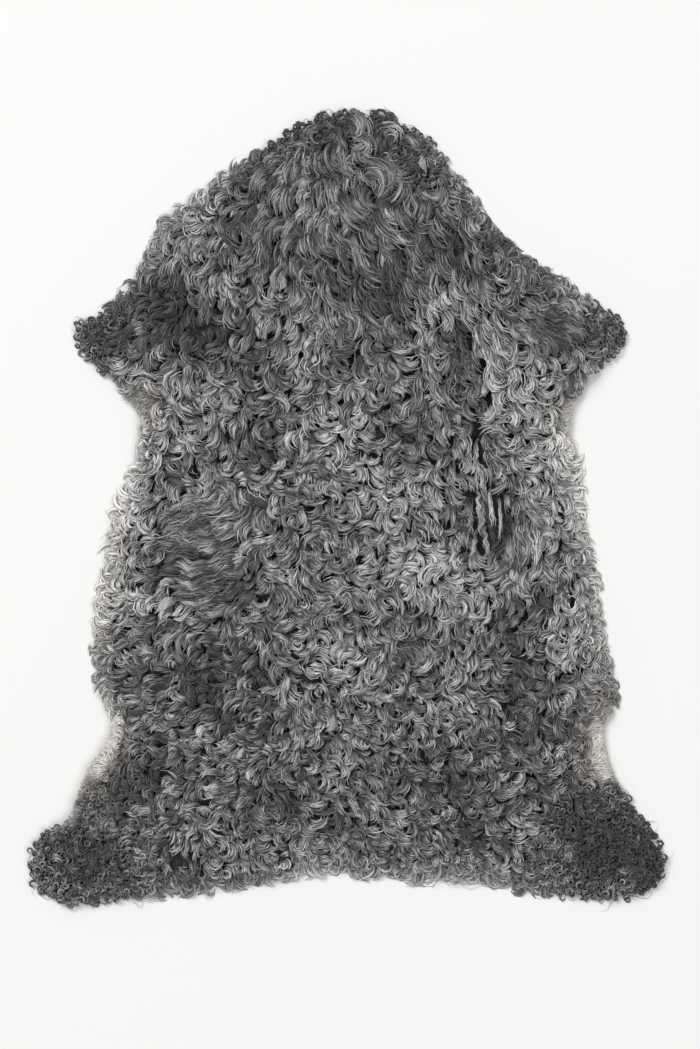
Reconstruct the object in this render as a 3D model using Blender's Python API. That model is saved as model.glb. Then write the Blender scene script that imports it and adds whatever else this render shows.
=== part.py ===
"""Curly grey sheepskin rug, lying flat with the wool up: one tanned pelt and the fleece that grows on it.

Metres, +Z up. The origin is on the surface that the rug lies on, under the middle of its length and width.
+Y points to the neck end and +X to the right, seen from above.
"""

import math
import random

import bmesh
import bpy
from mathutils import Vector, geometry, noise

# ---- Driving dimensions -------------------------------------------------------------------------------------

PELT_THICKNESS = 0.002
SKIN_TO_WOOL_GAP = 0.0003

RIM_PITCH = 0.0148  # one rim lock, and one face of the slab's wall, every 15 mm
PELT_INSET = 0.0015  # the skin's edge, inside the foot of the wool

LOFT_MIDDLE = 0.021  # mean depth of the wool on the back
LOFT_RIM = 0.0085  # depth of the wool where the slab ends
LOFT_BARE = 0.003  # short hair in the pits of the legs
RIM_SLOPE = 0.042  # how far in from the edge the wool reaches its full depth
LEG_LOFT_SHARE = 0.72  # the legs' small tight curls stand lower

TUFT_PITCH = 0.0275  # from one clump of locks to the next
TUFT_RISE = 0.0052  # a clump's crown, above the mean depth
TUFT_SINK = 0.0034  # the hollows between clumps, below it
TUFT_SCATTER = 0.17  # how far the clumps stray from an even pattern, as a share of their spacing
TUFT_RISE_RANGE = (0.5, 1.3)  # from the smallest clump to the tallest, as shares of the rise
TUFT_SINK_RANGE = (0.3, 1.3)
TUFT_EDGE_SHARE = 0.45  # of a clump's height is left at the slab's edge
CUFF_TUFT_LOSS = 0.35  # the legs' small curls clump this much less
SWELL_HEIGHT = 0.0035  # broad swells of the lying skin and wool
SWELL_SIZE = 0.16

LOCK_REACH = 0.0140  # how far a rim lock hangs out past the slab
LOCK_REACH_BARE = 0.0020
LOCK_REACH_RANGE = (0.82, 1.12)  # from the shortest lock to the longest, as shares of the reach
LOCK_LEAST_REACH = 0.0050  # a shorter one is left as a plain wall
LOCK_SLACK = 1.25  # a lock's length for its reach, because it curls
LOCK_TIP_LENGTH = 0.22  # the point past the last section, as a share of the reach
LOCK_TIP_HEIGHT = 0.45  # of half the wall's height
LOCK_MOST_CURL = math.radians(125)
CURL_PATCH = 0.11  # neighbours within about this distance curl the same way
CURL_GAIN = 3.0  # brings most patches to a full curl, one way or the other

# A lock's sections from its root out: share of its reach, of the width and of the height that it keeps, and
# share of the way down to the floor.
LOCK_SECTIONS = (
    (0.36, 0.84, 0.90, 0.55),
    (0.72, 0.64, 0.66, 1.00),
    (1.00, 0.42, 0.48, 1.00),
)

OUTLINE_STEPS = 12  # points along the curve between two landmarks, before they are spaced evenly
SMOOTH_UNDER = math.radians(42)  # a clump shades smoothly up to the sharp hollows round it

SUEDE = (0.62, 0.52, 0.43)
GREY_WOOL = (0.125, 0.127, 0.132)
SUEDE_ROUGHNESS = 0.85
WOOL_ROUGHNESS = 0.6

SEED = 11
SWELL_SLICE = 3.7  # which slice of the smooth noise shapes the swells, and which the curls' directions
CURL_SLICE = 8.1

# ---- The outline of the lying rug, out to the tips of its wool -----------------------------------------------
# Each stretch runs clockwise, seen from above: landmark, x, y.

OUTLINE = {
    "neck": (
        ("nape left", -0.058, 0.4845),
        ("nape", -0.016, 0.4985),
        ("nape right", 0.038, 0.4970),
        ("crown right", 0.084, 0.4790),
        ("cheek right", 0.124, 0.4490),
        ("jaw right", 0.138, 0.4160),
    ),
    "right shoulder": (
        ("neck notch", 0.164, 0.3930),
        ("withers", 0.178, 0.3560),
        ("shoulder", 0.220, 0.3190),
        ("upper arm", 0.262, 0.2950),
        ("forearm", 0.304, 0.2640),
    ),
    "right foreleg": (
        ("cuff top", 0.335, 0.2520),
        ("cuff tip", 0.3525, 0.2290),
        ("cuff bottom", 0.342, 0.1960),
        ("forearm back", 0.315, 0.1670),
        ("elbow", 0.288, 0.1350),
    ),
    "right flank": (
        ("elbow bay", 0.2760, 0.1050),
        ("chest", 0.2840, 0.0710),
        ("rib", 0.2935, 0.0300),
        ("waist", 0.2960, -0.0100),
        ("belly", 0.3105, -0.0560),
        ("belly back", 0.3150, -0.1060),
        ("flank", 0.3250, -0.1620),
        ("flank back", 0.3350, -0.2120),
        ("flank tip", 0.3400, -0.2440),
    ),
    "right hind leg": (
        ("groin", 0.3215, -0.2650),
        ("thigh bay", 0.3185, -0.2930),
        ("thigh", 0.3400, -0.3410),
        ("hock", 0.3690, -0.3820),
        ("cuff back", 0.3930, -0.4090),
        ("cuff side", 0.4020, -0.4390),
        ("cuff corner", 0.3930, -0.4700),
        ("cuff end", 0.3640, -0.4870),
    ),
    "rump": (
        ("ham right", 0.3050, -0.4880),
        ("seat right", 0.2480, -0.4810),
        ("dip right", 0.1960, -0.4680),
        ("rump right", 0.1380, -0.4620),
        ("rump", 0.0640, -0.4590),
        ("tail right", -0.0020, -0.4520),
        ("tail notch", -0.0300, -0.4490),
        ("tail left", -0.0600, -0.4630),
        ("dip left", -0.1200, -0.4700),
        ("seat left", -0.1820, -0.4770),
        ("ham left", -0.2430, -0.4850),
    ),
    "left hind leg": (
        ("cuff end", -0.3050, -0.4930),
        ("cuff corner", -0.3450, -0.4985),
        ("cuff heel", -0.3790, -0.4860),
        ("cuff side", -0.3960, -0.4610),
        ("cuff back", -0.4010, -0.4320),
        ("cuff top", -0.3870, -0.4030),
        ("hock", -0.3580, -0.3830),
        ("thigh", -0.3330, -0.3400),
        ("thigh bay", -0.3000, -0.2920),
        ("groin", -0.2935, -0.2640),
    ),
    "left flank": (
        ("flank tip", -0.3090, -0.2420),
        ("flank back", -0.3130, -0.1990),
        ("flank", -0.3170, -0.1520),
        ("belly back", -0.3080, -0.1000),
        ("belly", -0.3010, -0.0560),
        ("waist", -0.2950, -0.0170),
        ("rib", -0.2760, 0.0320),
        ("chest", -0.2570, 0.0720),
        ("elbow bay", -0.2500, 0.0990),
    ),
    "left foreleg": (
        ("elbow", -0.2650, 0.1270),
        ("forearm back", -0.2970, 0.1560),
        ("cuff bottom", -0.3270, 0.1860),
        ("cuff tip", -0.3440, 0.2180),
        ("cuff top", -0.3330, 0.2430),
        ("forearm", -0.3080, 0.2430),
    ),
    "left shoulder": (
        ("upper arm", -0.2820, 0.2660),
        ("shoulder", -0.2540, 0.3080),
        ("withers", -0.2330, 0.3560),
        ("neck notch", -0.1880, 0.3940),
        ("jaw left", -0.1470, 0.4250),
        ("cheek left", -0.1030, 0.4560),
    ),
}

# Where the hair is short and the skin's cut edge shows: place, x, y, reach across and along the edge.
BARE_PITS = (
    ("left elbow", -0.255, 0.106, 0.040, 0.052),
    ("right elbow", 0.281, 0.112, 0.032, 0.044),
    ("left thigh", -0.316, -0.312, 0.040, 0.070),
    ("right thigh", 0.322, -0.303, 0.038, 0.052),
)

# The legs' ends, where the curls are small: place, x, y, radius.
CUFFS = (
    ("left fore", -0.330, 0.215, 0.075),
    ("right fore", 0.335, 0.215, 0.070),
    ("left hind", -0.345, -0.440, 0.120),
    ("right hind", 0.350, -0.440, 0.120),
)

# Where the wool parts and lies open in a soft trough: place, from x, y, to x, y, half width, depth.
PARTINGS = (
    ("behind the right shoulder", 0.162, 0.120, 0.160, -0.060, 0.016, 0.0070),
    ("across the withers", -0.072, 0.316, 0.078, 0.330, 0.015, 0.0050),
    ("over the left shoulder", -0.205, 0.235, -0.150, 0.160, 0.020, 0.0060),
    ("along the right rump", 0.168, -0.196, 0.205, -0.330, 0.018, 0.0050),
    ("across the loin", -0.130, -0.196, -0.010, -0.232, 0.016, 0.0055),
    ("above the left ham", -0.118, -0.340, -0.052, -0.390, 0.014, 0.0045),
)


# ---- The lie of the wool ------------------------------------------------------------------------------------


def smooth(low, high, value):
    """0 up to low, 1 from high on, and an even S between them."""
    t = min(1.0, max(0.0, (value - low) / (high - low)))
    return t * t * (3 - 2 * t)


def fullness(x, y):
    """1 in full wool, down to 0 in the middle of a bare pit."""
    bare_within, full_beyond = 0.45, 1.35
    full = 1.0
    for _, px, py, across, along in BARE_PITS:
        away = math.hypot((x - px) / across, (y - py) / along)
        full = min(full, smooth(bare_within, full_beyond, away))
    return full


def cuff_share(x, y):
    """1 inside a leg's end, 0 well away from it."""
    small_within, none_beyond = 0.55, 1.25
    return max(
        1 - smooth(small_within, none_beyond, math.hypot(x - cx, y - cy) / radius)
        for _, cx, cy, radius in CUFFS
    )


def parting_depth(x, y):
    """How deep the wool lies open here."""
    deepest = 0.0
    for _, ax, ay, bx, by, half_width, depth in PARTINGS:
        along = Vector((bx - ax, by - ay))
        t = min(1.0, max(0.0, Vector((x - ax, y - ay)).dot(along) / along.length_squared))
        away = math.hypot(x - ax - t * along.x, y - ay - t * along.y)
        deepest = max(deepest, depth * math.exp(-((away / half_width) ** 2)))
    return deepest


def swell(x, y):
    return SWELL_HEIGHT * noise.noise(Vector((x / SWELL_SIZE, y / SWELL_SIZE, SWELL_SLICE)))


def wool_depth(x, y, edge_distance):
    """Mean depth of the wool over the skin, before the clumps."""
    full = fullness(x, y)
    shoulder = 0.7  # under 1, the wool is rounder where it rises from the rim
    rise = smooth(0.0, RIM_SLOPE, edge_distance) ** shoulder
    middle = LOFT_MIDDLE * (1 - (1 - LEG_LOFT_SHARE) * cuff_share(x, y)) + swell(x, y)
    depth = LOFT_RIM + (middle - LOFT_RIM) * rise - parting_depth(x, y) * rise
    return LOFT_BARE + (depth - LOFT_BARE) * full


# ---- Closed outlines ----------------------------------------------------------------------------------------


def spline_point(p0, p1, p2, p3, t):
    """Catmull-Rom curve from p1 to p2."""
    return 0.5 * (
        2 * p1 + (p2 - p0) * t + (2 * p0 - 5 * p1 + 4 * p2 - p3) * t**2 + (3 * p1 - p0 - 3 * p2 + p3) * t**3
    )


def even_points(points, pitch):
    """Points at an even pitch along a closed line."""
    count = len(points)
    reach = [0.0]
    for i in range(count):
        reach.append(reach[-1] + (points[(i + 1) % count] - points[i]).length)
    steps = round(reach[-1] / pitch)
    found, i = [], 0
    for step in range(steps):
        at = reach[-1] * step / steps
        while reach[i + 1] < at:
            i += 1
        share = (at - reach[i]) / (reach[i + 1] - reach[i])
        found.append(points[i].lerp(points[(i + 1) % count], share))
    return found


def outward(points):
    """The outward direction at each point of a clockwise closed line."""
    count = len(points)
    found = []
    for i in range(count):
        along = (points[(i + 1) % count] - points[i - 1]).normalized()
        found.append(Vector((-along.y, along.x)))
    return found


def moved_in(points, distances):
    """A closed line moved inwards by a distance of its own at each point, then evened out."""
    normals = outward(points)
    inner = [p - n * d for p, n, d in zip(points, normals, distances)]
    count = len(inner)
    return [0.25 * inner[i - 1] + 0.5 * inner[i] + 0.25 * inner[(i + 1) % count] for i in range(count)]


def rug_outline():
    """The wool's outer line at the rim's pitch, centred on the origin."""
    marks = [Vector((x, y)) for stretch in OUTLINE.values() for _, x, y in stretch]
    count = len(marks)
    fine = [
        spline_point(marks[i - 1], marks[i], marks[(i + 1) % count], marks[(i + 2) % count], step / OUTLINE_STEPS)
        for i in range(count)
        for step in range(OUTLINE_STEPS)
    ]
    return even_points(fine, RIM_PITCH)


def lock_reach(x, y):
    return LOCK_REACH_BARE + (LOCK_REACH - LOCK_REACH_BARE) * fullness(x, y)


# ---- The pieces ---------------------------------------------------------------------------------------------


def finish(name, built, colour, roughness):
    """A named object with its own material, from a finished bmesh."""
    mesh = bpy.data.meshes.new(name)
    built.to_mesh(mesh)
    built.free()
    material = bpy.data.materials.new(name)
    material.use_nodes = True
    shader = material.node_tree.nodes["Principled BSDF"]
    shader.inputs["Base Color"].default_value = (*colour, 1.0)
    shader.inputs["Roughness"].default_value = roughness
    shader.inputs["Metallic"].default_value = 0.0
    mesh.materials.append(material)
    mesh.shade_smooth()
    mesh.set_sharp_from_angle(angle=SMOOTH_UNDER)
    obj = bpy.data.objects.new(name, mesh)
    bpy.context.scene.collection.objects.link(obj)
    return obj


def ring_walls(built, lower, upper):
    """Wall faces between two rings of vertices that run clockwise, pointing out."""
    count = len(lower)
    return [
        built.faces.new((lower[i], upper[i], upper[(i + 1) % count], lower[(i + 1) % count]))
        for i in range(count)
    ]


def make_pelt(edge):
    """The tanned skin: one flat sheet, cut square at its edge."""
    built = bmesh.new()
    lower = [built.verts.new((p.x, p.y, 0.0)) for p in edge]
    upper = [built.verts.new((p.x, p.y, PELT_THICKNESS)) for p in edge]
    built.faces.new(lower)
    built.faces.new(upper[::-1])
    ring_walls(built, lower, upper)
    bmesh.ops.recalc_face_normals(built, faces=built.faces)
    return finish("pelt", built, SUEDE, SUEDE_ROUGHNESS)


def tuft_points(edge, rng):
    """Crowns and hollows of the wool's clumps inside the slab's edge: (point, rise of a clump there)."""
    spacing = TUFT_PITCH / math.sqrt(3)
    row_height = spacing * math.sqrt(3) / 2
    low = Vector((min(p.x for p in edge), min(p.y for p in edge)))
    high = Vector((max(p.x for p in edge), max(p.y for p in edge)))
    rows = math.ceil((high.y - low.y) / row_height)
    columns = math.ceil((high.x - low.x) / spacing) + 1
    found = []
    for row in range(rows + 1):
        for column in range(-(row // 2) - 1, columns - row // 2):
            # One point in three of the triangular pattern is a clump's crown.
            crown = (column - row) % 3 == 0
            stray = Vector((rng.uniform(-1, 1), rng.uniform(-1, 1))) * TUFT_SCATTER * spacing
            place = low + Vector(((column + 0.5 * row) * spacing, row * row_height)) + stray
            if crown:
                lift = TUFT_RISE * rng.uniform(*TUFT_RISE_RANGE)
            else:
                lift = -TUFT_SINK * rng.uniform(*TUFT_SINK_RANGE)
            found.append((place, lift))
    return found


def inside(point, edge):
    """Whether a point lies within a closed line, by counting crossings."""
    count, odd = len(edge), False
    for i in range(count):
        a, b = edge[i], edge[(i + 1) % count]
        if (a.y > point.y) != (b.y > point.y):
            if point.x < a.x + (b.x - a.x) * (point.y - a.y) / (b.y - a.y):
                odd = not odd
    return odd


def edge_distance(point, edge):
    count = len(edge)
    nearest = math.inf
    for i in range(count):
        a, b = edge[i], edge[(i + 1) % count]
        along = b - a
        t = min(1.0, max(0.0, (point - a).dot(along) / along.length_squared))
        nearest = min(nearest, (point - a - t * along).length)
    return nearest


def make_lock(built, wall, out, curl, reach):
    """Draws one wall face out into a lock that drops to the floor, lies level on it and curls round."""
    side = Vector((out.y, -out.x, 0.0))
    face = wall
    corners = [v.co.copy() for v in wall.verts]
    root = sum(corners, Vector()) / len(corners)
    half_height = (max(c.z for c in corners) - min(c.z for c in corners)) / 2
    centre, before = Vector((0.0, 0.0)), 0.0
    for along, width, height, fall in LOCK_SECTIONS:
        angle = curl * along * along
        step = (along - before) * reach * LOCK_SLACK
        centre += step * Vector((math.cos(angle), math.sin(angle)))
        before = along
        face = bmesh.ops.extrude_discrete_faces(built, faces=[face])["faces"][0]
        middle_z = root.z + (half_height * height - root.z) * fall
        turned = side * math.cos(angle) - out * math.sin(angle)
        for vert, corner in zip(face.verts, corners):
            across = (corner - root).dot(side) * width
            up = (corner.z - root.z) * height
            place = root + out * centre.x + side * centre.y + turned * across
            vert.co = Vector((place.x, place.y, max(0.0, middle_z + up)))
    tip = face.calc_center_median()
    heading = out * math.cos(curl) + side * math.sin(curl)
    tip += heading * reach * LOCK_TIP_LENGTH
    tip.z = half_height * LOCK_TIP_HEIGHT
    bmesh.ops.pointmerge(built, verts=face.verts, merge_co=tip)


def make_fleece(edge, rng):
    """The wool: one lumpy slab, its rim drawn out into locks."""
    foot = PELT_THICKNESS + SKIN_TO_WOOL_GAP
    rim_clearance = 0.55 * TUFT_PITCH / math.sqrt(3)  # no clump's point lies nearer to the rim's own points
    points = list(edge)
    heights = [foot + wool_depth(p.x, p.y, 0.0) for p in edge]
    for place, lift in tuft_points(edge, rng):
        away = edge_distance(place, edge)
        if away < rim_clearance or not inside(place, edge):
            continue
        lift *= fullness(place.x, place.y) * (1 - CUFF_TUFT_LOSS * cuff_share(place.x, place.y))
        lift *= TUFT_EDGE_SHARE + (1 - TUFT_EDGE_SHARE) * smooth(0.0, RIM_SLOPE, away)
        points.append(place)
        heights.append(foot + wool_depth(place.x, place.y, away) + lift)
    rim_count = len(edge)
    rim_edges = [(i, (i + 1) % rim_count) for i in range(rim_count)]
    keep_inside, nearest = 1, 1e-6
    meshed = geometry.delaunay_2d_cdt(points, rim_edges, [list(range(rim_count))[::-1]], keep_inside, nearest)
    places, faces, sources = meshed[0], meshed[2], meshed[3]

    built = bmesh.new()
    top = [built.verts.new((p.x, p.y, heights[source[0]])) for p, source in zip(places, sources)]
    for face in faces:
        built.faces.new([top[i] for i in face])
    at_source = {source[0]: vert for source, vert in zip(sources, top)}
    upper = [at_source[i] for i in range(rim_count)]
    lower = [built.verts.new((p.x, p.y, foot)) for p in edge]
    built.faces.new(lower)
    walls = ring_walls(built, lower, upper)
    bmesh.ops.recalc_face_normals(built, faces=built.faces)
    for wall in walls:
        middle = wall.calc_center_median()
        out = Vector((wall.normal.x, wall.normal.y, 0.0)).normalized()
        reach = lock_reach(middle.x, middle.y) * rng.uniform(*LOCK_REACH_RANGE)
        if reach < LOCK_LEAST_REACH:
            continue
        patch = Vector((middle.x / CURL_PATCH, middle.y / CURL_PATCH, CURL_SLICE))
        curl = LOCK_MOST_CURL * max(-1.0, min(1.0, CURL_GAIN * noise.noise(patch)))
        make_lock(built, wall, out, curl, reach)
    return finish("fleece", built, GREY_WOOL, WOOL_ROUGHNESS)


def main():
    for obj in list(bpy.data.objects):
        bpy.data.objects.remove(obj, do_unlink=True)
    rng = random.Random(SEED)
    outer = rug_outline()
    slab_edge = moved_in(outer, [lock_reach(p.x, p.y) for p in outer])
    pelt_edge = moved_in(slab_edge, [PELT_INSET] * len(slab_edge))
    make_pelt(pelt_edge)
    make_fleece(slab_edge, rng)


main()
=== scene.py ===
"""Curly grey sheepskin rug, seen from straight above: the looks of its tanned pelt and of its fleece.

Metres, +Z up, +Y to the neck end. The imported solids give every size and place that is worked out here.
"""

import math

import bmesh
import bpy
import numpy as np
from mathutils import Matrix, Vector, noise
from mathutils.bvhtree import BVHTree


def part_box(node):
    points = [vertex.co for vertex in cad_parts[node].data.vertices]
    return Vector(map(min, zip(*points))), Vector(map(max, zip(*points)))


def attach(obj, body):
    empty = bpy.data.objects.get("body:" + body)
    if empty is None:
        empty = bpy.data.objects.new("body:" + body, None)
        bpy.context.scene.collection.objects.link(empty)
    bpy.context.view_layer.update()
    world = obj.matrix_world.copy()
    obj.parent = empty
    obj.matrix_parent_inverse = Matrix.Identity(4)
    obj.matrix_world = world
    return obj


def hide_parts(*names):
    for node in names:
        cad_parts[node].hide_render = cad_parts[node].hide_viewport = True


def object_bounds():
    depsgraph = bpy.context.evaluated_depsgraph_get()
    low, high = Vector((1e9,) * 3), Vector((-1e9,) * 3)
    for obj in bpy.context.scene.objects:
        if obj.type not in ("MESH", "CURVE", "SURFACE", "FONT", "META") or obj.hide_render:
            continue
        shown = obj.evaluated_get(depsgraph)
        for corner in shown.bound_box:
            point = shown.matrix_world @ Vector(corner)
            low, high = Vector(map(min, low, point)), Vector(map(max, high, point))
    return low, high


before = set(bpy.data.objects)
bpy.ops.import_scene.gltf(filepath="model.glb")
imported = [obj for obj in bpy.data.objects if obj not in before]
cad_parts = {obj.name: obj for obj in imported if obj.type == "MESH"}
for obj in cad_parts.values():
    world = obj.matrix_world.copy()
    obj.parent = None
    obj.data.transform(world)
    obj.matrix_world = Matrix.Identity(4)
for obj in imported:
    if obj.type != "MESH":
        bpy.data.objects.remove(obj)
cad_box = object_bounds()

# ---- Studio: camera, light and floor ---------------------------------------------------------------------
# The photo is taken from straight above. Its 700 by 1049 pixels are 1.24 mm each on the lying rug, and the
# long side of the sensor is the frame's height. A big soft key light stands at the upper left, over an even
# fill, and the floor is a sheet of white paper.

PIXEL = 0.00124
FRAME_PIXELS = (700, 1049)
RUG_MIDDLE_PIXEL = (346.5, 509.5)
LENS = 100.0
SENSOR = 36.0
WOOL_TOP = cad_box[1].z

camera_data = bpy.data.cameras.new("camera")
camera_data.lens = LENS
camera_data.sensor_width = SENSOR
camera = bpy.data.objects.new("camera", camera_data)
camera.location = (
    (FRAME_PIXELS[0] / 2 - RUG_MIDDLE_PIXEL[0]) * PIXEL,
    (RUG_MIDDLE_PIXEL[1] - FRAME_PIXELS[1] / 2) * PIXEL,
    WOOL_TOP + FRAME_PIXELS[1] * PIXEL * LENS / SENSOR,
)
scene = bpy.context.scene
scene.collection.objects.link(camera)
scene.camera = camera
scene.view_settings.view_transform = "Standard"


def linear(hex_colour):
    """Linear RGBA from an sRGB hex colour."""
    parts = [int(hex_colour[i : i + 2], 16) / 255 for i in (1, 3, 5)]
    return (*[p / 12.92 if p <= 0.04045 else ((p + 0.055) / 1.055) ** 2.4 for p in parts], 1.0)


def add(tree, kind, inputs=None, **settings):
    """A node with its settings, its sockets set to values or linked from other sockets."""
    node = tree.nodes.new(kind)
    for name, value in settings.items():
        setattr(node, name, value)
    for socket, value in (inputs or {}).items():
        if isinstance(value, bpy.types.NodeSocket):
            tree.links.new(value, node.inputs[socket])
        else:
            node.inputs[socket].default_value = value
    return node


def surface(name):
    """A new material, its node tree and its shader."""
    material = bpy.data.materials.new(name)
    material.use_nodes = True
    return material, material.node_tree, material.node_tree.nodes["Principled BSDF"]


def area_light(name, place, size, watts, colour):
    """A square soft light that looks at the middle of the floor."""
    data = bpy.data.lights.new(name, "AREA")
    data.size, data.energy, data.color = size, watts, linear(colour)[:3]
    lamp = bpy.data.objects.new(name, data)
    lamp.location = place
    lamp.rotation_euler = (-Vector(place)).to_track_quat("-Z", "Y").to_euler()
    scene.collection.objects.link(lamp)


area_light("key", (-7.0, 8.3, 9.3), 7.0, 2130.0, "#ffffff")
area_light("fill", (8.3, -5.8, 10.9), 7.7, 930.0, "#ffffff")

world = bpy.data.worlds.new("studio")
world.use_nodes = True
world.node_tree.nodes["Background"].inputs["Color"].default_value = linear("#f6f7f8")
world.node_tree.nodes["Background"].inputs["Strength"].default_value = 0.55
scene.world = world

FLOOR_HALF = 6.0
FLOOR_DROP = 0.0004  # under the pelt, so that the two don't share a plane
floor_mesh = bpy.data.meshes.new("floor")
floor_mesh.from_pydata(
    [(x * FLOOR_HALF, y * FLOOR_HALF, -FLOOR_DROP) for x, y in ((-1, -1), (1, -1), (1, 1), (-1, 1))],
    [],
    [(0, 1, 2, 3)],
)
floor = bpy.data.objects.new("floor", floor_mesh)
scene.collection.objects.link(floor)
# Backdrop paper: matt and even, so that it shows the rug's soft shadow and no shine.
paper, _, paper_shader = surface("white_backdrop_paper")
paper_shader.inputs["Base Color"].default_value = linear("#d4d4d2")
paper_shader.inputs["Roughness"].default_value = 0.9
floor_mesh.materials.append(paper)

# ---- Pelt ------------------------------------------------------------------------------------------------
# One tanned skin, cut by hand along the animal's outline. The flesh side is napped suede, the edge is a clean
# knife cut, and the wool hides it from above, all but the pits of the legs.


def node_mesh(name):
    """A CAD node's shape as a merged bmesh."""
    built = bmesh.new()
    built.from_mesh(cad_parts[name].data)
    bmesh.ops.remove_doubles(built, verts=built.verts, dist=1e-6)
    return built


def outline_of(built, height):
    """The closed line round the faces that lie at one height, as an array of x, y."""
    flat = [f for f in built.faces if all(abs(v.co.z - height) < 1e-5 for v in f.verts)]
    flat_set = set(flat)
    rim = {}
    for face in flat:
        for loop in face.loops:
            if sum(f in flat_set for f in loop.edge.link_faces) == 1:
                rim[loop.vert] = loop.link_loop_next.vert
    start = next(iter(rim))
    line, vert = [], start
    while True:
        line.append((vert.co.x, vert.co.y))
        vert = rim[vert]
        if vert == start:
            return np.array(line)


PELT_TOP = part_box("pelt")[1].z
pelt_shape = node_mesh("pelt")
pelt_line = outline_of(pelt_shape, PELT_TOP)
next_point = np.roll(pelt_line, -1, axis=0)


def inward(points):
    """Signed distance from the pelt's edge, positive inside, for an array of x, y."""
    nearest = np.full(len(points), 9.0)
    odd = np.zeros(len(points), bool)
    for a, b in zip(pelt_line, next_point):
        along = b - a
        t = np.clip(((points - a) @ along) / (along @ along), 0, 1)
        nearest = np.minimum(nearest, np.linalg.norm(points - a - t[:, None] * along, axis=1))
        if a[1] != b[1]:
            crosses = (a[1] > points[:, 1]) != (b[1] > points[:, 1])
            odd ^= crosses & (points[:, 0] < a[0] + along[0] * (points[:, 1] - a[1]) / along[1])
    return np.where(odd, nearest, -nearest)


def ramp(tree, value, *stops):
    """The colour that a value gives between stops of place and sRGB hex colour."""
    node = add(tree, "ShaderNodeValToRGB", {"Fac": value})
    elements = node.color_ramp.elements
    for element, (at, colour) in zip(elements, (stops[0], stops[-1])):
        element.position = at
        element.color = linear(colour)
    for at, colour in stops[1:-1]:
        elements.new(at).color = linear(colour)
    return node.outputs["Color"]


def suede_material():
    """Napped suede: matt, with a soft sheen, and cloudy patches painted lighter and darker as painted sheen
    where the nap lies two ways.
    """
    material, tree, shader = surface("tanned_suede")
    place = add(tree, "ShaderNodeTexCoord").outputs["Object"]
    clouds = add(tree, "ShaderNodeTexNoise", {"Vector": place, "Scale": 9.0, "Detail": 5.0, "Roughness": 0.6})
    nap = add(tree, "ShaderNodeTexNoise", {"Vector": place, "Scale": 900.0, "Detail": 3.0})
    # Painted sheen: the cloudy lighter and darker patches stand for the nap that lies two ways.
    tone = ramp(tree, clouds.outputs["Fac"], (0.32, "#b29c87"), (0.7, "#d8cbbb"))
    bump = add(tree, "ShaderNodeBump", {"Height": nap.outputs["Fac"], "Strength": 0.5, "Distance": 0.0004})
    tree.links.new(tone, shader.inputs["Base Color"])
    tree.links.new(bump.outputs["Normal"], shader.inputs["Normal"])
    shader.inputs["Roughness"].default_value = 0.9
    shader.inputs["Sheen Weight"].default_value = 0.35
    return material


def finished(name, mesh_or_bmesh, replaced):
    """A piece at the origin that rides on the rug's one body and stands for its CAD node."""
    if isinstance(mesh_or_bmesh, bmesh.types.BMesh):
        mesh = bpy.data.meshes.new(name)
        mesh_or_bmesh.to_mesh(mesh)
        mesh_or_bmesh.free()
    else:
        mesh = mesh_or_bmesh
    piece = bpy.data.objects.new(name, mesh)
    scene.collection.objects.link(piece)
    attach(piece, "root")
    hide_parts(replaced)
    return piece


pelt = finished("tanned_pelt", pelt_shape, "pelt")
pelt.data.materials.append(suede_material())

# ---- Underwool -------------------------------------------------------------------------------------------
# The dense short wool next to the skin. Its colour is painted near black, as painted shade for the shadow
# between the curls. It is the fleece's own lumpy form, a little lower, and it grows from the pelt. In the
# pits of the legs, where the skin is bare, it is as pale as the skin.

# Where the hair is short and the skin's cut edge shows. The places are parts of the sheep, set one by one
# after
# the photo, in metres on the lying rug: place, x, y, reach in x and y, depth in from the edge, tone.
BARE_PITS = (
    ("left elbow", -0.252, 0.130, 0.028, 0.034, 0.024, 0.60),
    ("right elbow", 0.281, 0.112, 0.032, 0.040, 0.013, 0.78),
    ("left thigh", -0.312, -0.294, 0.050, 0.066, 0.014, 1.24),
    ("below the left thigh", -0.345, -0.362, 0.044, 0.052, 0.011, 0.62),
    ("right thigh", 0.322, -0.300, 0.045, 0.055, 0.016, 0.96),
)
GRID = 0.0025  # between the points of the maps
grid_x = np.arange(-0.4225, 0.4250, GRID)
grid_y = np.arange(-0.5250, 0.5275, GRID)
grid_points = np.stack(np.meshgrid(grid_x, grid_y), axis=2).reshape(-1, 2)


def mapped(values):
    """Values at the grid's points as a map with a row for each y."""
    return np.asarray(values).reshape(len(grid_y), len(grid_x))


def sample(grid, points):
    """Values of a grid map between its points."""
    u = np.clip((points[..., 0] - grid_x[0]) / GRID, 0, len(grid_x) - 1.001)
    v = np.clip((points[..., 1] - grid_y[0]) / GRID, 0, len(grid_y) - 1.001)
    i, j = u.astype(int), v.astype(int)
    u, v = u - i, v - j
    low = grid[j, i] * (1 - u) + grid[j, i + 1] * u
    return low * (1 - v) + (grid[j + 1, i] * (1 - u) + grid[j + 1, i + 1] * u) * v


def smooth(low, high, value):
    """0 below low and 1 above high, with a soft step between them."""
    t = np.clip((value - low) / (high - low), 0, 1)
    return t * t * (3 - 2 * t)


def fullness(points):
    """1 in full wool, down to 0 at the skin's edge in a bare pit."""
    bare = np.zeros(len(points))
    edge = sample(edge_map, points)
    for _, x, y, across, along, deep, _ in BARE_PITS:
        far = np.hypot((points[:, 0] - x) / across, (points[:, 1] - y) / along)
        bare = np.maximum(bare, (1 - smooth(0.6, 1.15, far)) * (1 - smooth(0.6 * deep, 1.4 * deep, edge)))
    return 1 - bare


edge_map = mapped(inward(grid_points))

UNDERWOOL_HEIGHT = 0.62  # of the fleece's depth
FLEECE_FOOT = PELT_TOP + 0.0003
LOCK_FOOT = 0.0026  # the solid's locks start this far outside the pelt, and the rim's curls stand for them

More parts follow.
